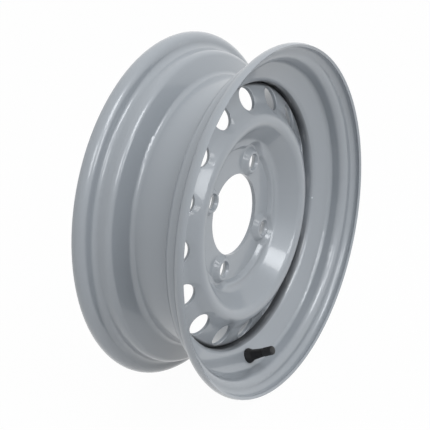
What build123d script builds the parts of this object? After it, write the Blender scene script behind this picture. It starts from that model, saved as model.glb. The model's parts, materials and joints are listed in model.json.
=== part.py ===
from build123d import *
import math
import os

os.makedirs("parts", exist_ok=True)

# Trailer wheel rim, 13 inch, four bolts on 115 mm.
# The axle runs along Y. The outboard face looks along -Y, and +Z is up.
# The origin lies on the axle, midway between the two rim flanges.
# In every section the first number is the radius and the second the place along Y.

# A cut that must pass right through is made this long
through_cut = 60.0

# Rim driving dimensions
lip_radius = 181.0
rim_sheet = 2.8
bead_seat_radius = 165.4
half_width_between_flanges = 48.8
flange_curl_radius = 9.4
flange_curl_past_crest = 30.0
bead_seat_taper = 5.0
bead_seat_width = 16.8
well_radius = 141.0
well_side_angle = 25.0
flange_fillet = 6.5
seat_end_fillet = 8.0
well_fillet = 6.0

# Disc driving dimensions
disc_sheet = 4.0
bore_radius = 42.5
hub_face_y = -2.2
ledge_height = 4.6
ledge_radius = 74.0
ledge_fillet = 8.0
bowl_wall_angle = 52.0
crest_radius = 101.0
crest_y = -33.2
crest_roll_radius = 10.0
crest_flank_angle = 38.0
vent_cone_angle = 24.5
vent_cone_y = -20.3
vent_fold_radius = 20.0
shoulder_radius = 7.0
skirt_gap = 0.1
skirt_end_y = 14.0
recess_radius = 68.5
recess_draft = 35.0
recess_corner = 8.0
recess_edge_round = 3.0
lobe_radius = 17.5

# Vent holes and the shallow round pads that they are pierced in
vent_count = 16
vent_circle_radius = 123.8
vent_radius = 12.3
pad_radius = 13.4
pad_depth = 0.3
pad_draft = 60.0
vent_edge_round = 0.8

# Bolt holes and their raised seats
bolt_count = 4
pitch_circle_diameter = 115.0
first_bolt_angle = 60.6
bolt_hole_radius = 7.25
seat_cone_radius = 8.7
seat_cone_angle = 60.0
boss_height = 5.8
boss_top_radius = 11.0
boss_base_radius = 15.0
boss_top_round = 1.5
boss_foot_round = 1.5

# Welds between the disc skirt and the well
weld_count = 8
weld_length_angle = 24.0
weld_leg = 3.6

# Snap-in valve, measured along its own stem from the visible face of the rim outwards
valve_angle = -92.8
valve_below_slope_middle = 1.7
valve_hole_radius = 5.75
valve_fit = 0.05
collar_radius = 7.9
collar_height = 1.6
rubber_shoulder_radius = 5.6
rubber_shoulder_height = 6.5
rubber_tip_radius = 4.3
rubber_height = 20.5
bulb_radius = 7.6
bulb_depth = 8.0
stem_radius = 3.85
stem_root_radius = 2.9
stem_root_height = 12.0
stem_tip_height = 29.6
stem_tail_depth = 9.5
stem_bore_radius = 1.95
core_thread_radius = 2.6
core_recess = 0.9
core_head_length = 4.2
core_barrel_length = 10.0
core_barrel_radius = 1.55
core_fit = 0.05
core_chamber_radius = 1.2
core_guide_radius = 0.7
core_lip = 0.6
pin_radius = 0.5
pin_collar_radius = 1.1
pin_collar_length = 0.5
pin_stand_out = 0.5
seal_radius = 1.5
seal_length = 1.4
gasket_length = 2.4
spring_wire_radius = 0.15
spring_radius = 0.92
spring_turns = 4
cap_radius = 4.75
cap_top = 1.6
cap_seal_thickness = 1.0
cap_fit = 0.1

# The tyre side of the rim, from the inboard curl to the outboard one
seat_taper = math.tan(math.radians(bead_seat_taper))
well_lean = math.tan(math.radians(well_side_angle))
seat_end_y = half_width_between_flanges - bead_seat_width
seat_end_radius = bead_seat_radius - bead_seat_width * seat_taper
half_well_width = seat_end_y - (seat_end_radius - well_radius) * well_lean
curl_start_radius = lip_radius - flange_curl_radius
curl_turn = 90.0 + flange_curl_past_crest
half_section = [
    (curl_start_radius, half_width_between_flanges),
    (bead_seat_radius, half_width_between_flanges),
    (seat_end_radius, seat_end_y),
    (well_radius, half_well_width),
]
well_depth = seat_end_radius - well_radius
half_fillets = [
    flange_fillet,
    min(seat_end_fillet, well_depth / 2.5),
    min(well_fillet, well_depth / 3.5),
]

# The valve stands square on the outboard side of the well, where the slope faces the wheel's open side
valve_seat_radius = well_radius + well_depth / 2 - valve_below_slope_middle
valve_turn = math.radians(valve_angle)
valve_out = Vector(math.cos(valve_turn), 0, math.sin(valve_turn))
well_turn = math.radians(well_side_angle)
valve_direction = -valve_out * math.sin(well_turn) - Vector(0, math.cos(well_turn), 0)
slope_y = -half_well_width - (valve_seat_radius - well_radius) * well_lean - rim_sheet / math.cos(well_turn)
valve_plane = Plane(
    origin=valve_out * valve_seat_radius + Vector(0, slope_y, 0),
    x_dir=(-math.sin(valve_turn), 0, math.cos(valve_turn)),
    z_dir=valve_direction,
)
valve_axis = Axis(valve_plane.origin, valve_direction)
valve_section = Plane(
    origin=valve_plane.origin,
    x_dir=valve_plane.x_dir,
    z_dir=valve_plane.x_dir.cross(valve_direction),
)

with BuildPart() as rim_barrel:
    with BuildSketch(Plane.XY):
        with BuildLine():
            FilletPolyline(
                *half_section,
                *[(radius, -y) for radius, y in reversed(half_section)],
                radius=half_fillets + half_fillets[::-1],
            )
            JernArc(half_section[0], (1, 0), flange_curl_radius, curl_turn)
            JernArc((curl_start_radius, -half_width_between_flanges), (1, 0), flange_curl_radius, -curl_turn)
            offset(amount=rim_sheet, side=Side.RIGHT)
        make_face()
    revolve(axis=Axis.Y)
    with Locations(valve_plane):
        Cylinder(valve_hole_radius, through_cut / 2, mode=Mode.SUBTRACT)
rim_barrel.part.label = "rim_barrel"
export_step(rim_barrel.part, "parts/rim_barrel.step")

# The disc section runs along four straight stretches, each given as radius, place along Y, and angle
hub_outboard_y = hub_face_y - disc_sheet
ledge_y = hub_outboard_y - ledge_height
well_inner_radius = well_radius - rim_sheet
skirt_radius = well_inner_radius - skirt_gap
ledge_line = (ledge_radius, ledge_y, 0.0)
skirt_line = (skirt_radius, skirt_end_y, 90.0)


def moved(line, inset):
    """A straight stretch moved into the metal, square to itself."""
    radius, y, angle = line
    turn = math.radians(angle)
    return (radius - inset * math.sin(turn), y + inset * math.cos(turn), angle)


def crossing(first, second, inset=0.0):
    """The corner where two stretches meet, both moved into the metal."""
    r1, y1, a1 = moved(first, inset)
    r2, y2, a2 = moved(second, inset)
    c1, s1 = math.cos(math.radians(a1)), math.sin(math.radians(a1))
    c2, s2 = math.cos(math.radians(a2)), math.sin(math.radians(a2))
    along = ((r2 - r1) * s2 - (y2 - y1) * c2) / (c1 * s2 - s1 * c2)
    return (r1 + along * c1, y1 + along * s1)


def crest_tangent(angle):
    """The straight stretch that touches the crest roll, at an angle measured outwards from the crest."""
    turn = math.radians(angle)
    radius = crest_radius + crest_roll_radius * math.sin(turn)
    return (radius, crest_y + crest_roll_radius * (1 - math.cos(turn)), angle)


wall_line = crest_tangent(-bowl_wall_angle)
flank_line = crest_tangent(crest_flank_angle)
vent_line = (vent_circle_radius, vent_cone_y, vent_cone_angle)
lean = math.radians(vent_cone_angle)


def vent_plane(index, depth):
    """Plane lying on the vent cone, sunk by depth, with its Z square to the sheet."""
    turn = math.radians(360.0 / vent_count * index)
    out = Vector(math.cos(turn), 0, math.sin(turn))
    across = Vector(-math.sin(turn), 0, math.cos(turn))
    normal = out * math.sin(lean) - Vector(0, math.cos(lean), 0)
    middle = out * vent_circle_radius + Vector(0, vent_cone_y, 0) - normal * depth
    return Plane(origin=middle, x_dir=across, z_dir=normal)


def outboard_plane(y):
    """Plane square to the axle that looks outboard, with its Y along the part's Z."""
    return Plane(origin=(0, y, 0), x_dir=(1, 0, 0), z_dir=(0, -1, 0))


def bolt_planes(y):
    """Planes at the bolt holes, square to the axle."""
    turns = [math.radians(first_bolt_angle + 360.0 / bolt_count * index) for index in range(bolt_count)]
    places = [Vector(math.cos(turn), 0, math.sin(turn)) * (pitch_circle_diameter / 2) for turn in turns]
    return [Plane(origin=place + Vector(0, y, 0), x_dir=(1, 0, 0), z_dir=(0, -1, 0)) for place in places]


above = (Align.CENTER, Align.CENTER, Align.MIN)


def disc_form(inset, soft_edges):
    """Solid behind the outboard face of the disc, or behind that face moved into the metal by the inset."""
    hub_y = hub_outboard_y + inset
    draft = math.radians(recess_draft)
    spread = inset * (1 / math.cos(draft) - math.tan(draft))
    recess_depth = ledge_height + ledge_fillet
    boss_lean = math.atan((boss_base_radius - boss_top_radius) / boss_height)
    boss_shrink = inset * (1 / math.cos(boss_lean) - math.tan(boss_lean))
    pad_turn = math.radians(pad_draft)
    pad_foot = pad_radius + inset * (1 / math.cos(pad_turn) - math.tan(pad_turn))
    pad_reach = through_cut / 10
    with BuildPart() as form:
        with BuildSketch(Plane.XY):
            with BuildLine():
                section = FilletPolyline(
                    (0, moved(ledge_line, inset)[1]),
                    crossing(ledge_line, wall_line, inset),
                    crossing(wall_line, flank_line, inset),
                    crossing(flank_line, vent_line, inset),
                    crossing(vent_line, skirt_line, inset),
                    (skirt_radius - inset, skirt_end_y),
                    radius=[
                        ledge_fillet + inset,
                        crest_roll_radius - inset,
                        vent_fold_radius + inset,
                        shoulder_radius - inset,
                    ],
                )
                Polyline(section @ 1, (0, skirt_end_y), section @ 0)
            make_face()
        revolve(axis=Axis.Y)

        # A shallow round pad is pressed in for each vent hole
        with Locations(*[vent_plane(index, pad_depth + inset) for index in range(vent_count)]):
            Cone(pad_foot, pad_foot + pad_reach * math.tan(pad_turn), pad_reach, align=above, mode=Mode.SUBTRACT)

        # The four-lobed recess that the hub face and the bolt seats lie in
        with BuildSketch(outboard_plane(hub_y)) as recess:
            Circle(recess_radius + spread)
            with PolarLocations(pitch_circle_diameter / 2, bolt_count, start_angle=first_bolt_angle):
                Circle(lobe_radius + spread)
            fillet(recess.vertices(), recess_corner)
        extrude(amount=recess_depth, taper=-recess_draft, mode=Mode.SUBTRACT)
        if soft_edges:
            recess_edges = form.edges(Select.LAST)
            upper_edges = recess_edges.filter_by(lambda edge: edge.bounding_box().max.Y < hub_y - ledge_height / 2)
            fillet(upper_edges, recess_edge_round)

        # A raised seat round each bolt hole
        with Locations(*bolt_planes(hub_y)):
            Cone(boss_base_radius - boss_shrink, boss_top_radius - boss_shrink, boss_height, align=above)
        if soft_edges:
            boss_edges = form.edges(Select.LAST)
            fillet(boss_edges.group_by(Axis.Y)[0], boss_top_round)
            fillet(boss_edges.group_by(Axis.Y)[-1], boss_foot_round)
    return form.part


outer_form = disc_form(0.0, True)
inner_form = disc_form(disc_sheet, False)
with BuildPart() as wheel_disc:
    add(outer_form)
    add(inner_form, mode=Mode.SUBTRACT)
    with Locations(outboard_plane(hub_outboard_y)):
        Cylinder(bore_radius, through_cut, mode=Mode.SUBTRACT)
    with Locations(*bolt_planes(hub_outboard_y - boss_height)):
        CounterSinkHole(bolt_hole_radius, seat_cone_radius, depth=through_cut / 3, counter_sink_angle=seat_cone_angle)
    with Locations(*[vent_plane(index, 0) for index in range(vent_count)]):
        Cylinder(vent_radius, through_cut / 2, mode=Mode.SUBTRACT)
    vent_edges = wheel_disc.edges(Select.LAST).filter_by(GeomType.CIRCLE)
    fillet(vent_edges, vent_edge_round)
wheel_disc.part.label = "wheel_disc"
export_step(wheel_disc.part, "parts/wheel_disc.step")

# Stitch welds in the corner between the inboard end of the skirt and the well
weld_section = [
    (well_inner_radius, skirt_end_y),
    (well_inner_radius, skirt_end_y + weld_leg),
    (well_inner_radius - weld_leg, skirt_end_y),
]
with BuildPart() as disc_welds:
    for index in range(weld_count):
        start = -(360.0 / weld_count) * index - weld_length_angle / 2
        with BuildSketch(Plane.XY.rotated((0, start, 0))):
            with BuildLine():
                Line(weld_section[0], weld_section[1])
                bead = ThreePointArc(
                    weld_section[1],
                    (well_inner_radius - weld_leg * 0.62, skirt_end_y + weld_leg * 0.62),
                    weld_section[2],
                )
                Line(weld_section[2], weld_section[0])
            make_face()
        revolve(axis=Axis.Y, revolution_arc=weld_length_angle)
disc_welds.part.label = "disc_welds"
export_step(disc_welds.part, "parts/disc_welds.step")


def turned(name, outline):
    """A piece turned about the valve's stem from its half outline, radius first, then height."""
    with BuildPart() as piece:
        with BuildSketch(valve_section):
            with BuildLine():
                Polyline(*outline, close=True)
            make_face()
        revolve(axis=valve_axis)
    piece.part.label = name
    export_step(piece.part, "parts/" + name + ".step")
    return piece.part


rubber_neck = valve_hole_radius - valve_fit
sheet_back = -rim_sheet - valve_fit
rubber_inner = stem_root_radius
turned(
    "valve_rubber",
    [
        (rubber_inner, sheet_back - bulb_depth),
        (bulb_radius * 0.72, sheet_back - bulb_depth),
        (bulb_radius, sheet_back - bulb_depth * 0.45),
        (bulb_radius, sheet_back),
        (rubber_neck, sheet_back),
        (rubber_neck, valve_fit * 2),
        (collar_radius, valve_fit * 2),
        (collar_radius, collar_height),
        (rubber_shoulder_radius, rubber_shoulder_height),
        (rubber_tip_radius, rubber_height),
        (stem_radius, rubber_height),
        (stem_radius, stem_root_height),
        (rubber_inner, stem_root_height),
    ],
)
core_top = stem_tip_height - core_recess
core_shoulder = core_top - core_head_length
core_foot = core_shoulder - core_barrel_length
turned(
    "valve_stem",
    [
        (stem_bore_radius, sheet_back - stem_tail_depth),
        (stem_root_radius, sheet_back - stem_tail_depth),
        (stem_root_radius, stem_root_height),
        (stem_radius, stem_root_height),
        (stem_radius, stem_tip_height),
        (core_thread_radius, stem_tip_height),
        (core_thread_radius, core_shoulder),
        (stem_bore_radius, core_shoulder),
    ],
)
turned(
    "core_body",
    [
        (core_guide_radius, core_top),
        (core_thread_radius - core_fit, core_top),
        (core_thread_radius - core_fit, core_shoulder + core_fit),
        (core_barrel_radius, core_shoulder + core_fit),
        (core_barrel_radius, core_foot),
        (pin_radius + core_fit * 2, core_foot),
        (pin_radius + core_fit * 2, core_foot + core_lip),
        (core_chamber_radius, core_foot + core_lip),
        (core_chamber_radius, core_shoulder),
        (core_guide_radius, core_shoulder),
    ],
)
gasket_top = core_shoulder - gasket_length
turned(
    "core_gasket",
    [
        (core_barrel_radius, gasket_top - gasket_length),
        (stem_bore_radius - core_fit, gasket_top - gasket_length),
        (stem_bore_radius - core_fit, gasket_top),
        (core_barrel_radius, gasket_top),
    ],
)
pin_top = core_top + pin_stand_out
collar_top = core_shoulder - core_fit
pin_foot = core_foot - seal_length - core_fit
turned(
    "core_pin",
    [
        (0, pin_foot),
        (pin_radius, pin_foot),
        (pin_radius, collar_top - pin_collar_length),
        (pin_collar_radius, collar_top - pin_collar_length),
        (pin_collar_radius, collar_top),
        (pin_radius, collar_top),
        (pin_radius, pin_top),
        (0, pin_top),
    ],
)
turned(
    "core_seal",
    [
        (pin_radius, pin_foot),
        (seal_radius, pin_foot),
        (seal_radius, core_foot - core_fit),
        (pin_radius, core_foot - core_fit),
    ],
)

# The core's spring stands on the lip at the foot and pushes the pin's collar outwards
spring_foot = core_foot + core_lip + spring_wire_radius + core_fit
spring_length = collar_top - pin_collar_length - spring_wire_radius - core_fit - spring_foot
spring_start = valve_plane.origin + valve_direction * spring_foot
with BuildPart() as core_spring:
    with BuildLine():
        coil = Helix(
            spring_length / spring_turns,
            spring_length,
            spring_radius,
            center=spring_start,
            direction=valve_direction,
        )
    with BuildSketch(Plane(origin=coil @ 0, z_dir=coil % 0)):
        Circle(spring_wire_radius)
    sweep(path=coil, is_frenet=True)
core_spring.part.label = "core_spring"
export_step(core_spring.part, "parts/core_spring.step")

# The cap screws over the stem and closes on a small seal
cap_foot = rubber_height + cap_fit
cap_inner_top = stem_tip_height + cap_fit + cap_seal_thickness
cap_tip = cap_inner_top + cap_top
turned(
    "valve_cap",
    [
        (stem_radius + cap_fit, cap_foot),
        (cap_radius - 0.3, cap_foot),
        (cap_radius, cap_foot + 1.0),
        (cap_radius, cap_tip - 1.0),
        (cap_radius - 1.0, cap_tip),
        (0, cap_tip),
        (0, cap_inner_top),
        (stem_radius + cap_fit, cap_inner_top),
    ],
)
turned(
    "cap_seal",
    [
        (core_thread_radius, stem_tip_height + cap_fit),
        (stem_radius, stem_tip_height + cap_fit),
        (stem_radius, cap_inner_top),
        (core_thread_radius, cap_inner_top),
    ],
)
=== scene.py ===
# %% [markdown]
# # A pressed steel trailer wheel rim
#
# The wheel is a rolled hoop with a pressed disc welded into it, sprayed silver grey all over.
# Its only other pieces are the black snap-in tyre valve and what that valve holds.
# The solid model already has every true size, so it is loaded here as a fixed frame.
# This script gives each piece its finish, sets the light,
# and stands the camera where the photograph was taken.

# %% Load the frame
import json
import math

import bmesh
import bpy
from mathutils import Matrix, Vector


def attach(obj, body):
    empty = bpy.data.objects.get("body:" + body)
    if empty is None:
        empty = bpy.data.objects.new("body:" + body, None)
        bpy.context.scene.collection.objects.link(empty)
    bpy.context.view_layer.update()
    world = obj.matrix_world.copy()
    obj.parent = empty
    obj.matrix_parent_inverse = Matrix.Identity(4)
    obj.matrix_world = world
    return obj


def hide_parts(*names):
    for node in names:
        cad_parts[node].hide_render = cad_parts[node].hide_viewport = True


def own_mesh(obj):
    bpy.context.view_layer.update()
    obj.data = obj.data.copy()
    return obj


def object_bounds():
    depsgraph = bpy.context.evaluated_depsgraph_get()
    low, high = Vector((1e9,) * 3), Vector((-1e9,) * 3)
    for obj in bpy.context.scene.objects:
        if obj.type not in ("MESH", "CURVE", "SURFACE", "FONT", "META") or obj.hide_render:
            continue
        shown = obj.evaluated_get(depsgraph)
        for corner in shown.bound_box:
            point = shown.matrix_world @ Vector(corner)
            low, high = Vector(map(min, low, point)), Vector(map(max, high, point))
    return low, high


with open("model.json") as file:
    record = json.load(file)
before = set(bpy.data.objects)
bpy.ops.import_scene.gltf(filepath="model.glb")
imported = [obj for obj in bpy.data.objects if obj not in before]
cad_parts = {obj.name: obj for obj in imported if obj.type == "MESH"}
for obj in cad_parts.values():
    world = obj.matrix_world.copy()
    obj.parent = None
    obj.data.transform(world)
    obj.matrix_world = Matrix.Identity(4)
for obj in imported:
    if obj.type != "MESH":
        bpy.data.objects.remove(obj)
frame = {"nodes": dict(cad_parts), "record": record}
cad_box = [list(corner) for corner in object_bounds()]
nodes = frame["nodes"]
print("box of the solid model in metres:", cad_box)

# %% [markdown]
# ## Camera
#
# A photograph fixes the camera only through the shapes in it.
# Both flanges, the bore and the bolt holes are circles, and each circle shows as an ellipse.
# The place and lens below make all those ellipses fall on the picture's own.
# The lens is long, about twice a normal one, so the wheel hardly narrows with distance.
# The plain Standard view shows a colour about as it is written.

# %% Camera
camera_place = Vector((-1.0075, -0.6185, 0.3967))
camera_azimuth = math.radians(-57.74)
camera_height_angle = math.radians(18.62)
camera_lens = 101.39
sensor_width = 36.0

level = math.cos(camera_height_angle)
view_direction = Vector((
    -math.sin(camera_azimuth) * level,
    math.cos(camera_azimuth) * level,
    -math.sin(camera_height_angle),
))
camera_data = bpy.data.cameras.new("camera")
camera_data.sensor_width = sensor_width
camera_data.lens = camera_lens
camera = bpy.data.objects.new("camera", camera_data)
camera.location = camera_place
camera.rotation_euler = view_direction.to_track_quat("-Z", "Y").to_euler()
bpy.context.scene.collection.objects.link(camera)
bpy.context.scene.camera = camera
bpy.context.scene.view_settings.view_transform = "Standard"
print("camera stands", round(camera_place.length, 3), "m from the wheel's centre")

# %% [markdown]
# ## Shader maths
#
# A finish is built from small sums: a mask, one minus a mask, a mask times a strength.
# Written as nodes these sums are hard to read, so one small class wraps a socket.
# Python's own signs then add the Math nodes, and a line reads as the sum it is.
# Each sign has a plain and a reflected form, so both mask - 1 and 1 - mask work.

# %% A socket that can be reckoned with
def both_ways(operation):
    """One of Python's signs as a Math node, with the socket before the sign and after it."""

    def plain(socket, other):
        return socket.graph.reckon(operation, socket, other)

    def reflected(socket, other):
        return socket.graph.reckon(operation, other, socket)

    return plain, reflected


class Socket:
    """One output of a node, which plain sums turn into Math nodes."""

    __add__, __radd__ = both_ways("ADD")
    __sub__, __rsub__ = both_ways("SUBTRACT")
    __mul__, __rmul__ = both_ways("MULTIPLY")
    __truediv__, __rtruediv__ = both_ways("DIVIDE")
    __pow__, __rpow__ = both_ways("POWER")

    def __init__(self, graph, socket):
        self.graph = graph
        self.socket = socket

    def limited(self):
        """The same value, kept between 0 and 1."""
        return self.graph.node("Clamp", {}, {"Value": self})


print("sums of sockets are ready")

# %% [markdown]
# ## Nodes
#
# Every node comes from a single method, which sets the node up and links what feeds it.
# The few kinds that each finish uses again and again get a short name of their own.
# Colours and directions have their own mixing nodes, because a Math node turns a colour grey.

# %% Nodes
class Graph:
    """The nodes of one material or world."""

    def __init__(self, tree):
        self.tree = tree

    def feed(self, socket, value):
        """Links a Socket to a node's input, or sets a plain value there."""
        if isinstance(value, Socket):
            self.tree.links.new(value.socket, socket)
        else:
            socket.default_value = value

    def node(self, kind, settings, values, output=0):
        """A new node. Its settings come first, then what feeds its inputs."""
        made = self.tree.nodes.new("ShaderNode" + kind)
        for name, setting in settings.items():
            setattr(made, name, setting)
        for name, value in values.items():
            self.feed(made.inputs[name], value)
        return Socket(self, made.outputs[output])

    def reckon(self, operation, *values):
        """One Math node."""
        return self.node("Math", {"operation": operation}, dict(enumerate(values)))

    def mix(self, factor, first, second):
        """A colour between two others."""
        return self.node("Mix", {"data_type": "RGBA"}, {0: factor, 6: first, 7: second}, 2)

    def turn(self, factor, first, second):
        """A direction between two others."""
        return self.node("Mix", {"data_type": "VECTOR"}, {0: factor, 4: first, 5: second}, 1)

    def place(self):
        """Where the shaded point is on the object, in metres."""
        return self.node("TexCoord", {}, {}, "Object")

    def part(self, vector, axis):
        """One of a vector's three numbers, X, Y or Z."""
        return self.node("SeparateXYZ", {}, {"Vector": vector}, axis)

    def noise(self, place, scale, detail=2.0, roughness=0.5):
        """Soft random patches from 0 to 1. A larger scale makes them smaller."""
        values = {"Vector": place, "Scale": scale, "Detail": detail, "Roughness": roughness}
        return self.node("TexNoise", {}, values)

    def bump(self, height, distance, under=None):
        """Relief of a distance in metres, on the surface as it is or on another direction."""
        values = {"Height": height, "Distance": distance}
        if under:
            values["Normal"] = under
        return self.node("Bump", {}, values)


print("node helpers are ready")

# %% [markdown]
# ## Finishes
#
# A finish is one material with one Principled shader.
# A value that is the same all over a piece is set on the shader itself, where an export keeps it.
# What changes over the surface comes from nodes, and often one mask drives colour and roughness alike.

# %% Finishes
def finish(name, metallic=0.0, **fixed):
    """A new material with its graph and its shader. Fixed values are set on the shader itself."""
    material = bpy.data.materials.new(name)
    material.use_nodes = True
    graph = Graph(material.node_tree)
    shader = material.node_tree.nodes["Principled BSDF"]
    shader.inputs["Metallic"].default_value = metallic
    for socket, value in fixed.items():
        shader.inputs[socket.replace("_", " ")].default_value = value
    return material, graph, shader


def vary(graph, shader, mask, colours, roughness):
    """Colour and roughness that follow one mask, each from its first value to its second."""
    smooth, rough = roughness
    graph.feed(shader.inputs["Base Color"], graph.mix(mask, *colours))
    graph.feed(shader.inputs["Roughness"], mask * (rough - smooth) + smooth)


def dress(piece, material):
    """Gives a piece one material in place of whatever it had."""
    piece.data.materials.clear()
    piece.data.materials.append(material)


print("finish helpers are ready")

# %% [markdown]
# ## Plain white background
#
# The photograph has a pure white ground and no shadow edge, as a light tent gives.
# A floor that only reflects light would need so much light that the paint would wash out.
# So floor and world are plain white for the rays that look at the background,
# and light the wheel in their own way for all other rays.
# The first kind comes from the camera, off gloss or through glass,
# so the gloss of the paint mirrors the white tent too.

# %% Background
def background_rays(graph):
    """1 for the rays that see the plain background, 0 for those that light the wheel."""
    kinds = ("Is Camera Ray", "Is Glossy Ray", "Is Transmission Ray")
    camera_ray, glossy_ray, glass_ray = [graph.node("LightPath", {}, {}, kind) for kind in kinds]
    return (camera_ray + glossy_ray + glass_ray).limited()


print("the background is white for camera, gloss and glass")

# %% [markdown]
# ## Floor
#
# The floor shines white for the background rays, and is an ordinary pale floor for the rest.
# A small part of its real shading is mixed in, which keeps a faint shadow under the wheel.

# %% Floor
floor_size = 12.0
floor_level = cad_box[0][2]
floor_grain_scale = 9.0
floor_dark = (0.53, 0.53, 0.54, 1)
floor_light = (0.56, 0.56, 0.56, 1)
floor_shade_share = 0.025

half = floor_size / 2
corners = [
    (-half, -half, floor_level),
    (half, -half, floor_level),
    (half, half, floor_level),
    (-half, half, floor_level),
]
floor_mesh = bpy.data.meshes.new("floor")
floor_mesh.from_pydata(corners, [], [(0, 1, 2, 3)])
floor = bpy.data.objects.new("floor", floor_mesh)
bpy.context.scene.collection.objects.link(floor)

floor_material = bpy.data.materials.new("pale_floor")
floor_material.use_nodes = True
floor_nodes = floor_material.node_tree.nodes
floor_nodes.remove(floor_nodes["Principled BSDF"])
floor_graph = Graph(floor_material.node_tree)
floor_grain = floor_graph.noise(floor_graph.place(), floor_grain_scale)
floor_colour = floor_graph.mix(floor_grain, floor_dark, floor_light)
matt = floor_graph.node("BsdfDiffuse", {}, {"Color": floor_colour})
shine = floor_graph.node("Emission", {}, {"Color": (1, 1, 1, 1), "Strength": 1.0})
shining = background_rays(floor_graph) * (1 - floor_shade_share)
floor_surface = floor_graph.node("MixShader", {}, {0: shining, 1: matt, 2: shine})
floor_graph.feed(floor_nodes["Material Output"].inputs["Surface"], floor_surface)
floor_mesh.materials.append(floor_material)
print("floor lies at", round(floor_level, 4), "m")

# %% [markdown]
# ## World
#
# Light in a room is never even, and even light would make the wheel look like chalk.
# This world is bright overhead, has a dimmer wall behind the wheel, and is nearly dark near the ground.
# Squaring a direction's height or side gives each of them a soft edge.

# %% World
ceiling_light = 2.00
wall_light = 0.74
level_light = 0.04

world = bpy.data.worlds.new("studio")
bpy.context.scene.world = world
world.use_nodes = True
world_graph = Graph(world.node_tree)
direction = world_graph.node("TexCoord", {}, {}, "Generated")
ceiling = world_graph.part(direction, "Z").limited() ** 2 * ceiling_light
wall = world_graph.part(direction, "X").limited() ** 2 * wall_light
room = ceiling + wall + level_light
white = background_rays(world_graph)
background = world.node_tree.nodes["Background"]
background.inputs["Color"].default_value = (1, 1, 1, 1)
world_graph.feed(background.inputs["Strength"], white + (1 - white) * room)
print("ceiling", ceiling_light, "wall", wall_light, "all round", level_light)

# %% [markdown]
# ## Lamps
#
# Three soft lamps stand where the photograph's own highlights ask for them.
# A highlight shows where its lamp is: the line of sight is mirrored at the paint and points to the lamp.
# The patch in the bowl, the spot on the crest and the streaks on the rolled beads give one lamp each.

# %% Lamps
lamp_distance = 2.4


def soft_lamp(name, towards, width, power):
    """A round soft lamp that looks at the wheel from a direction."""
    lamp_data = bpy.data.lights.new(name, "AREA")
    lamp_data.shape = "DISK"
    lamp_data.size = width
    lamp_data.energy = power
    lamp = bpy.data.objects.new(name, lamp_data)
    lamp.location = Vector(towards).normalized() * lamp_distance
    lamp.rotation_euler = (-lamp.location).to_track_quat("-Z", "Y").to_euler()
    bpy.context.scene.collection.objects.link(lamp)
    print(name, "gives", power, "W from", [round(number, 2) for number in lamp.location])


soft_lamp("high_lamp", (-0.16, -0.68, 0.72), 0.9, 12.0)
soft_lamp("low_lamp", (-0.15, -0.93, 0.34), 0.8, 7.0)
soft_lamp("side_lamp", (-0.64, -0.58, 0.50), 0.8, 7.5)

# %% [markdown]
# ## Painted shade in the groove round the disc
#
# The disc's shoulder turns back just inside the well, and a deep narrow groove is left between them.
# Its shade is painted into the paint's colour there as a dark grey.
# The groove runs all the way round, so its mask needs only the radius and the place along the axle.
# A smooth Map Range fades the painted shade out towards the open side.
# The painted shade is weakest at the height of the axle and strongest towards the top and bottom of the
# wheel.

# %% Groove
# Dark grey painted into the colour as the shade of the groove.
groove_painted_shade = (0.050, 0.053, 0.058, 1)
groove_bottom = -0.0165
groove_mouth = -0.0285
well_air_side = 0.1397
air_side_fade = 0.0004
well_shade_end = (-0.004, 0.004)
well_shade_share = 0.9
shoulder_top = 0.1330
shoulder_turn = 0.1362
disc_shade_end = (-0.006, 0.002)
disc_shade_share = 0.85
faint_shade_height = 0.020
full_shade_height = 0.085
faint_shade_share = 0.25


def faded(value, none_at, full_at):
    """A soft step from 0 to 1 between two values."""
    settings = {"interpolation_type": "SMOOTHSTEP"}
    return value.graph.node("MapRange", settings, {0: value, 1: none_at, 2: full_at})


def painted_shade_in_well(radius, along):
    """Painted shade at the bottom of the well on its air side, in front of the disc."""
    air_side = 1 - faded(radius, well_air_side, well_air_side + air_side_fade)
    before_disc = 1 - faded(along, *well_shade_end)
    return faded(along, groove_mouth, groove_bottom) * before_disc * air_side * well_shade_share


def painted_shade_on_disc(radius, along):
    """Painted shade where the disc's shoulder turns back into the groove."""
    turned_back = faded(radius, shoulder_top, shoulder_turn)
    return turned_back * (1 - faded(along, *disc_shade_end)) * disc_shade_share


def shade_by_height(up):
    """How strong the painted shade is, least at the height of the axle."""
    height = up.graph.reckon("ABSOLUTE", up)
    return faded(height, faint_shade_height, full_shade_height) * (1 - faint_shade_share) + faint_shade_share


print("groove is", round((groove_bottom - groove_mouth) * 1000, 1), "mm deep")

# %% [markdown]
# ## A small nick with painted light and shade
#
# One small nick lies near the groove, with a dark side and a pale side.
# It is far too small to model, so its shade is painted as a dark spot and its highlight as a pale spot,
# each a soft round spot of colour.
# A spot needs only the distance from the shaded point to its middle.

# %% Scuff
# Painted shade as a dark spot and painted highlight as a pale spot, for a small nick.
painted_nick_spots = (
    ((0.1376, -0.0196, -0.0155), 0.0016, (0.26, 0.29, 0.32, 1)),
    ((0.1391, -0.0229, -0.0167), 0.0013, (0.56, 0.60, 0.65, 1)),
)
spot_core = 0.4


def with_painted_nick(graph, place, colour):
    """A colour with the nick's painted shade and painted highlight laid over it."""
    for middle, radius, spot_colour in painted_nick_spots:
        away = graph.node("VectorMath", {"operation": "DISTANCE"}, {0: place, 1: middle}, "Value")
        colour = graph.mix(faded(away, radius, radius * spot_core), colour, spot_colour)
    return colour


print("scuff has", len(painted_nick_spots), "spots")

# %% [markdown]
# ## Soft forms of the pressing
#
# A press draws steel softly, and thick paint rounds what is left.
# The solid has a crisp wall round each vent hole's pad and round each bolt seat.
# There the shader turns the surface's direction towards that of the pressing around it.
# Both kinds of hole repeat round the wheel, so one sum finds the distance to the nearest of them.

# %% Nearest hole
vent_count = 16
vent_circle = 0.1238
vent_slope = math.radians(24.5)
bolt_count = 4
bolt_circle = 0.0575
first_bolt = math.radians(60.6)


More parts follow.
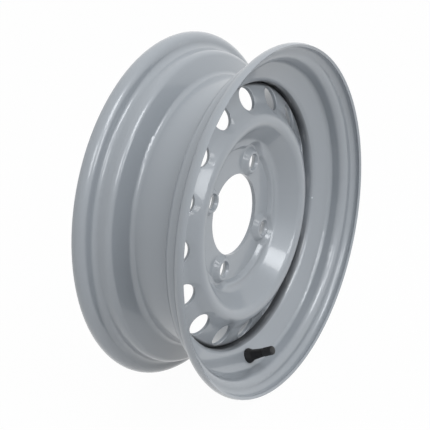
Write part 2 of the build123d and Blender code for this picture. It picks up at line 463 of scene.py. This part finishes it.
def hole_distance(across, up, radius, count, first, circle, slope):
    """Distance in metres from the shaded point to the middle of the nearest hole in a ring."""
    reckon = radius.graph.reckon
    holes_round = (reckon("ARCTAN2", up, across) - first) * (count / (2 * math.pi)) + 0.5
    aside = (reckon("FRACT", holes_round) - 0.5) * (2 * math.pi / count)
    sideways = radius * reckon("SINE", aside)
    outwards = (radius * reckon("COSINE", aside) - circle) * (1 / math.cos(slope))
    return (sideways * sideways + outwards * outwards) ** 0.5


print("rings of", vent_count, "vent holes and", bolt_count, "bolt holes")

# %% [markdown]
# ## Turning the surface's direction
#
# The direction of the pressing near the vents is that of a cone, which gets steeper at the crest.
# Round the bolt seats it is simply straight out along the axle.
# Each wall is a ring round its hole, which a soft step up and a soft step down pick out.
# Only the outboard face is treated, because the paint's highlights are seen there.

# %% Soft forms
crest_slope = math.radians(38.0)
fold_inside = 0.1151
fold_outside = 0.1191
pad_wall = ((0.0129, 0.0134), (0.0165, 0.0180))
seat_wall = ((0.0095, 0.0110), (0.0160, 0.0185))
seat_share = 0.5
outboard_turn = (0.1, 0.3)


def ring_of(distance, start, end):
    """A mask that rises at the start of a wall and falls at its end."""
    return faded(distance, *start) * (1 - faded(distance, *end))


def softly_pressed(graph, across, up, radius):
    """The surface's direction, calmed on the walls of the pads and the bolt seats."""
    direction = graph.node("NewGeometry", {}, {}, "Normal")
    outboard = faded(graph.part(direction, "Y") * -1, *outboard_turn)

    steeper = faded(radius, fold_outside, fold_inside)
    slope = steeper * (crest_slope - vent_slope) + vent_slope
    lean = graph.reckon("SINE", slope) / radius
    outwards = graph.reckon("COSINE", slope) * -1
    pressing = graph.node("CombineXYZ", {}, {"X": across * lean, "Y": outwards, "Z": up * lean})
    vent = hole_distance(across, up, radius, vent_count, 0.0, vent_circle, vent_slope)
    calm = graph.turn(ring_of(vent, *pad_wall) * outboard, direction, pressing)

    bolt = hole_distance(across, up, radius, bolt_count, first_bolt, bolt_circle, 0.0)
    by_seat = ring_of(bolt, *seat_wall) * outboard * seat_share
    calm = graph.turn(by_seat, calm, (0.0, -1.0, 0.0))
    return graph.node("VectorMath", {"operation": "NORMALIZE"}, {0: calm})


print("pad walls end", round(pad_wall[1][1] * 1000, 1), "mm from the middle of their holes")

# %% [markdown]
# ## Silver wheel paint
#
# The paint is a sprayed silver grey with a clear, even gloss.
# Sprayed paint dries with a fine waviness that is called orange peel, and highlights break up on it.
# Rolled steel also keeps faint rings round the barrel, which show as streaks along each highlight.
# Both are bumps far too small to model, so they are made in the shader's Normal.
# The colour drifts a little over the wheel, and a very fine sparkle stands for the metal in the paint.

# %% Paint
paint_light = (0.300, 0.328, 0.358, 1)
paint_dark = (0.272, 0.298, 0.328, 1)
paint_metal = 0.15
paint_roughness = (0.28, 0.36)
gloss_weight = 0.65
gloss_roughness = 0.08
drift_scale = 7.0
cloud_scale = 22.0
sparkle_scale = 2600.0
sparkle_colour = (0.62, 0.64, 0.67, 1)
sparkle_strength = 0.12
peel_scale = 420.0
peel_height = 0.000008
ring_scale = 900.0
ring_noise_scale = 0.22


def silver_paint(name, rings, groove, pressed=None):
    """The wheel paint, with a strength of the rolling rings, the mask of painted shade in the groove and
    the soft forms.
    """
    gloss = {"Coat_Weight": gloss_weight, "Coat_Roughness": gloss_roughness}
    material, graph, shader = finish(name, paint_metal, **gloss)
    place = graph.place()
    across, along, up = [graph.part(place, axis) for axis in "XYZ"]
    radius = (across * across + up * up) ** 0.5

    drift = graph.noise(place, drift_scale, detail=3.0)
    sparkle = (graph.noise(place, sparkle_scale, detail=1.0) - 0.5).limited() * sparkle_strength
    colour = graph.mix(sparkle, graph.mix(drift, paint_dark, paint_light), sparkle_colour)
    # Painted shade: the groove's mask turns the colour towards dark grey.
    painted_shade = groove(radius, along) * shade_by_height(up)
    colour = graph.mix(painted_shade, with_painted_nick(graph, place, colour), groove_painted_shade)
    graph.feed(shader.inputs["Base Color"], colour)
    cloud = graph.noise(place, cloud_scale, detail=4.0, roughness=0.6)
    smooth, rough = paint_roughness
    graph.feed(shader.inputs["Roughness"], cloud * (rough - smooth) + smooth)

    ring_place = graph.node("CombineXYZ", {}, {"X": radius * ring_scale, "Y": along * ring_scale})
    ring_marks = graph.noise(ring_place, ring_noise_scale, detail=3.0, roughness=0.6)
    peel = graph.noise(place, peel_scale)
    under = pressed(graph, across, up, radius) if pressed else None
    graph.feed(shader.inputs["Normal"], graph.bump(peel + ring_marks * rings, peel_height, under))
    return material


rim_paint = silver_paint("rim_paint", 0.5, painted_shade_in_well)
disc_paint = silver_paint("disc_paint", 0.2, painted_shade_on_disc, softly_pressed)
dress(nodes["rim_barrel"], rim_paint)
dress(nodes["wheel_disc"], disc_paint)
print("painted rim and disc, orange peel about", round(1000 / peel_scale, 1), "mm across")

# %% [markdown]
# ## Weld beads
#
# Short beads hold the disc's skirt to the well, on the side away from the photograph.
# A bead is a row of small frozen ripples, each lying on the one before.
# The solid has the bead's true shape, so the ripples are a bump that runs round the wheel, and painted
# shade darkens each ripple's trough.

# %% Welds
weld_circle = 0.138
ripples_round_wheel = 430.0
ripple_wander = 3.0
ripple_height = 0.0004
unevenness_scale = 260.0
weld_trough_shade = (0.29, 0.31, 0.34, 1)
weld_roughness = (0.32, 0.52)

weld_paint, weld_graph, weld_shader = finish("weld_paint", Coat_Weight=0.25, Coat_Roughness=0.2)
weld_place = weld_graph.place()
weld_across, weld_up = [weld_graph.part(weld_place, axis) for axis in "XZ"]
weld_turn = weld_graph.reckon("ARCTAN2", weld_up, weld_across)
unevenness = weld_graph.noise(weld_place, unevenness_scale, detail=3.0)
ripple_phase = weld_turn * ripples_round_wheel + unevenness * ripple_wander
ripple = weld_graph.reckon("SINE", ripple_phase)
# Painted shade: the colour darkens in each ripple's trough.
weld_colour = weld_graph.mix((ripple * 0.5 + 0.5).limited(), weld_trough_shade, paint_light)
weld_smooth, weld_rough = weld_roughness
weld_relief = weld_graph.bump(ripple * 0.5 + unevenness, ripple_height)
weld_graph.feed(weld_shader.inputs["Base Color"], weld_colour)
weld_graph.feed(
    weld_shader.inputs["Roughness"], unevenness * (weld_rough - weld_smooth) + weld_smooth
)
weld_graph.feed(weld_shader.inputs["Normal"], weld_relief)
dress(nodes["disc_welds"], weld_paint)
ripple_length = 2 * math.pi * weld_circle / ripples_round_wheel
print("weld ripples are", round(ripple_length * 1000, 2), "mm apart")

# %% [markdown]
# ## Valve rubber
#
# The valve is moulded in black rubber, which is dull with a slight grey bloom where it is handled.
# The mould leaves a fine even grain, and the bloom gathers in soft patches.

# %% Rubber
rubber_colours = (0.004, 0.004, 0.005, 1), (0.012, 0.012, 0.013, 1)
rubber_roughness = (0.42, 0.60)
bloom_scale = 160.0
rubber_grain_scale = 3200.0
rubber_grain_depth = 0.00004

valve_black, rubber_graph, rubber_shader = finish("valve_black", Specular_IOR_Level=0.3)
bloom = rubber_graph.noise(rubber_graph.place(), bloom_scale, detail=4.0, roughness=0.6)
rubber_grain = rubber_graph.noise(rubber_graph.place(), rubber_grain_scale)
vary(rubber_graph, rubber_shader, bloom, rubber_colours, rubber_roughness)
rubber_graph.feed(
    rubber_shader.inputs["Normal"], rubber_graph.bump(rubber_grain, rubber_grain_depth)
)
rubber_pieces = ("valve_rubber", "core_seal", "cap_seal")
for piece_name in rubber_pieces:
    dress(nodes[piece_name], valve_black)
print("rubber pieces:", ", ".join(rubber_pieces))

# %% [markdown]
# ## Brass valve stem and core
#
# Stem, core body and pin are turned brass, bright yellow with fine rings from the lathe.
# The stem also has the outside thread that the cap and a pump screw on to.
# Both run square to the valve's own axis, so the shader needs each point's distance along that axis.
# A dot product with the axis gives it.

# %% Brass
valve_tip = next(mount for mount in frame["record"]["mounts"] if mount["name"] == "valve_tip")
tip_place = Vector(valve_tip["pos_m"])
valve_axis = Vector(valve_tip["axis"]).normalized()
brass_colours = (0.62, 0.44, 0.17, 1), (0.80, 0.62, 0.30, 1)
brass_roughness = (0.2, 0.4)
stain_scale = 500.0
thread_pitch = 0.0008
thread_depth = 0.0004
lathe_pitch = 0.00018
lathe_depth = 0.00003


def turned_brass(name, pitch, depth):
    """Brass with rings or a thread of a pitch along the valve's axis."""
    material, graph, shader = finish(name, 1.0)
    axis_and_place = {0: graph.place(), 1: tuple(valve_axis)}
    along = graph.node("VectorMath", {"operation": "DOT_PRODUCT"}, axis_and_place, "Value")
    wave = graph.reckon("SINE", along * (2 * math.pi / pitch))
    stain = graph.noise(graph.place(), stain_scale, detail=4.0, roughness=0.6)
    vary(graph, shader, stain, brass_colours, brass_roughness)
    graph.feed(shader.inputs["Normal"], graph.bump(wave * 0.5, depth))
    return material


threaded_brass = turned_brass("threaded_brass", thread_pitch, thread_depth)
lathe_brass = turned_brass("lathe_brass", lathe_pitch, lathe_depth)
dress(nodes["valve_stem"], threaded_brass)
dress(nodes["core_body"], threaded_brass)
dress(nodes["core_pin"], lathe_brass)
print("thread pitch", thread_pitch * 1000, "mm")

# %% [markdown]
# ## Spring steel
#
# The core's spring is drawn steel wire, with fine marks from the die that it was drawn through.
# It is hidden inside the stem and shows only when the core is taken apart.
# The spring gets its own mesh further on, and this finish goes on both.

# %% Spring steel
steel_colours = (0.42, 0.42, 0.43, 1), (0.62, 0.62, 0.63, 1)
steel_roughness = (0.22, 0.42)
draw_mark_scale = 4000.0

spring_steel, steel_graph, steel_shader = finish("spring_steel", 1.0)
draw_marks = steel_graph.noise(steel_graph.place(), draw_mark_scale, detail=3.0)
vary(steel_graph, steel_shader, draw_marks, steel_colours, steel_roughness)
dress(nodes["core_spring"], spring_steel)
print("spring wire dressed")

# %% [markdown]
# ## Packing ring
#
# The ring that seals the core in the stem is smooth white plastic, a little see-through at its edges.
# A touch of subsurface light gives it that look.

# %% Packing ring
seal_colours = (0.72, 0.70, 0.65, 1), (0.84, 0.83, 0.79, 1)
seal_roughness = (0.3, 0.4)
seal_mark_scale = 1800.0
seal_mark_depth = 0.00002

seal_white, seal_graph, seal_shader = finish("seal_white", Subsurface_Weight=0.1)
seal_marks = seal_graph.noise(seal_graph.place(), seal_mark_scale, detail=3.0)
vary(seal_graph, seal_shader, seal_marks, seal_colours, seal_roughness)
seal_graph.feed(seal_shader.inputs["Normal"], seal_graph.bump(seal_marks, seal_mark_depth))
dress(nodes["core_gasket"], seal_white)
print("packing ring dressed")

# %% [markdown]
# ## Valve cap
#
# The cap is moulded plastic with fine flutes for the fingers.
# The solid cap is a plain turned shape, so this mesh stands in its place and adds the flutes.
# Its outline is a list of rings along the valve, measured from the solid cap and stem.

# %% The cap's outline
def reach_of(node):
    """Lowest and highest place along the valve, and the largest radius, of a piece on it."""
    places = [vertex.co - tip_place for vertex in node.data.vertices]
    heights = [place.dot(valve_axis) for place in places]
    radii = [(place - valve_axis * place.dot(valve_axis)).length for place in places]
    return min(heights), max(heights), max(radii)


cap_foot, cap_top, cap_radius = reach_of(nodes["valve_cap"])
bore_clearance = 0.0001
cap_bore = reach_of(nodes["valve_stem"])[2] + bore_clearance
cap_roof = 0.0016

# Each ring is a radius, a place along the valve and how strongly it is fluted.
cap_outline = [
    (cap_bore, cap_foot, 0.0),
    (cap_radius - 0.0003, cap_foot, 0.0),
    (cap_radius, cap_foot + 0.0003, 0.0),
    (cap_radius, cap_foot + 0.0012, 0.0),
    (cap_radius, cap_foot + 0.0016, 1.0),
    (cap_radius, cap_top - 0.0020, 1.0),
    (cap_radius - 0.0001, cap_top - 0.0012, 0.6),
    (cap_radius - 0.0006, cap_top - 0.0004, 0.0),
    (cap_radius - 0.0014, cap_top, 0.0),
    (cap_radius - 0.0030, cap_top, 0.0),
]
print("cap is", round((cap_top - cap_foot) * 1000, 1), "mm long")

# %% [markdown]
# ## The cap's mesh
#
# Rings of points are laid up along the valve, and each fluted ring's radius rises and falls round it.
# The flutes only go inwards, so the mesh never reaches beyond the solid cap.
# It rides on the same body as the solid cap and takes its finish from the same slot.

# %% The cap's mesh
flute_count = 20
flute_depth = 0.00035
ring_points = flute_count * 12
sharp_edge = math.radians(50)
side = valve_axis.orthogonal().normalized()
other_side = valve_axis.cross(side)
cap_build = bmesh.new()


def cap_ring(radius, height, fluted):
    """One ring of points round the valve, drawn in at each flute."""
    ring = []
    for index in range(ring_points):
        turn = 2 * math.pi * index / ring_points
        dip = flute_depth * fluted * (0.5 - 0.5 * math.cos(turn * flute_count))
        reach = (side * math.cos(turn) + other_side * math.sin(turn)) * (radius - dip)
        ring.append(cap_build.verts.new(tip_place + valve_axis * height + reach))
    return ring


def join_rings(first, second):
    for index in range(ring_points):
        after = (index + 1) % ring_points
        cap_build.faces.new((first[index], first[after], second[after], second[index]))


outer_rings = [cap_ring(*entry) for entry in cap_outline]
for first, second in zip(outer_rings, outer_rings[1:]):
    join_rings(first, second)
cap_build.faces.new(outer_rings[-1])
roof_ring = cap_ring(cap_bore, cap_top - cap_roof, 0.0)
join_rings(roof_ring, outer_rings[0])
cap_build.faces.new(list(reversed(roof_ring)))
bmesh.ops.recalc_face_normals(cap_build, faces=cap_build.faces)
cap_mesh = bpy.data.meshes.new("valve_cap_fluted")
cap_build.to_mesh(cap_mesh)
cap_build.free()
for face in cap_mesh.polygons:
    face.use_smooth = len(face.vertices) == 4
cap_mesh.set_sharp_from_angle(angle=sharp_edge)
fluted_cap = bpy.data.objects.new("valve_cap_fluted", cap_mesh)
bpy.context.scene.collection.objects.link(fluted_cap)
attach(fluted_cap, "cap")
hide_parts("valve_cap")
print("cap has", flute_count, "flutes and", len(cap_mesh.polygons), "faces")

# %% [markdown]
# ## Cap plastic
#
# The cap's black plastic is harder and a little glossier than the valve's rubber.
# Its grain is fine and shallow, as a spark-eroded steel mould leaves it.

# %% Cap plastic
cap_colours = (0.005, 0.005, 0.006, 1), (0.011, 0.011, 0.012, 1)
cap_roughness = (0.30, 0.45)
cap_grain_scale = 2400.0
cap_grain_depth = 0.00003

cap_black, cap_graph, cap_shader = finish("cap_black", Specular_IOR_Level=0.4)
cap_grain = cap_graph.noise(cap_graph.place(), cap_grain_scale, detail=3.0)
vary(cap_graph, cap_shader, cap_grain, cap_colours, cap_roughness)
cap_graph.feed(cap_shader.inputs["Normal"], cap_graph.bump(cap_grain, cap_grain_depth))
dress(fluted_cap, cap_black)
dress(nodes["valve_cap"], cap_black)
print("cap plastic is ready")

# %% [markdown]
# ## Coil spring
#
# Pressing the valve's pin shortens the spring, and the spring's inner end stays on the core's barrel.
# Here the spring gets a copy of the solid spring's mesh, which rides on the wheel with a mesh of its
# own, and the solid spring is hidden.

# %% Coil spring
coil_spring = bpy.data.objects.new("core_coil_spring", nodes["core_spring"].data.copy())
bpy.context.scene.collection.objects.link(coil_spring)
dress(coil_spring, spring_steel)
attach(coil_spring, "wheel")
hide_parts("core_spring")
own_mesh(coil_spring)
